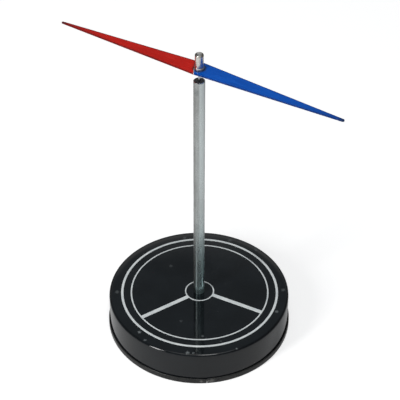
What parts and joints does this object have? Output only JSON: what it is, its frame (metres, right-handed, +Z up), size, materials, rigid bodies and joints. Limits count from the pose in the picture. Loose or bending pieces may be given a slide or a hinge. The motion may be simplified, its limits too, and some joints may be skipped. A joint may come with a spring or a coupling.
{
  "type": "magnetic needle on stand",
  "caption": "Red and blue lozenge-shaped magnetic needle that turns on the point of an upright rod, on a heavy round black base with printed rings.",
  "frame": {"origin": "centre of the base's underside, on the table", "axes": "+Z up along the rod; the needle at rest lies along X, with its red tip at -X and its blue tip at +X"},
  "size_m": [0.1626, 0.1016, 0.1809],
  "materials": {
    "base_enamel": "gloss black stoving enamel, lightly scuffed",
    "print_ink": "screen-printed white ink",
    "edging_plastic": "satin black flexible plastic",
    "rod_steel": "bright zinc plating, mottled",
    "fastener_steel": "zinc plated",
    "spring_steel": "blackened spring steel",
    "plug_plastic": "black moulded plastic",
    "point_steel": "hardened steel, ground to a point",
    "jewel_stone": "polished bearing stone",
    "cap_plate": "nickel plated brass",
    "blade_steel": "bare spring steel",
    "red_paint": "semi-gloss red paint",
    "blue_paint": "semi-gloss blue paint"
  },
  "bodies": {
    "stand": {"base_pan": "base_enamel", "base_print": "print_ink", "edging_strip": "edging_plastic", "rod": "rod_steel", "clamp_washer": "fastener_steel", "spring_washer": "spring_steel", "rod_nut": "fastener_steel", "rod_plug": "plug_plastic", "pivot_pin": "point_steel"},
    "jewel": {"jewel_cup": "jewel_stone"},
    "needle": {"needle_blade": "blade_steel", "red_enamel": "red_paint", "blue_enamel": "blue_paint", "needle_cap": "cap_plate"}
  },
  "joints": [
    {"name": "needle_spin", "type": "hinge", "parent": "stand", "child": "jewel", "pos_m": [0, 0, 0.17856], "axis": [0, 0, 1], "continuous": true},
    {"name": "needle_dip", "type": "hinge", "parent": "jewel", "child": "needle", "pos_m": [0, 0, 0.17856], "axis": [0, 1, 0], "range_deg": [-5, 5]}
  ]
}
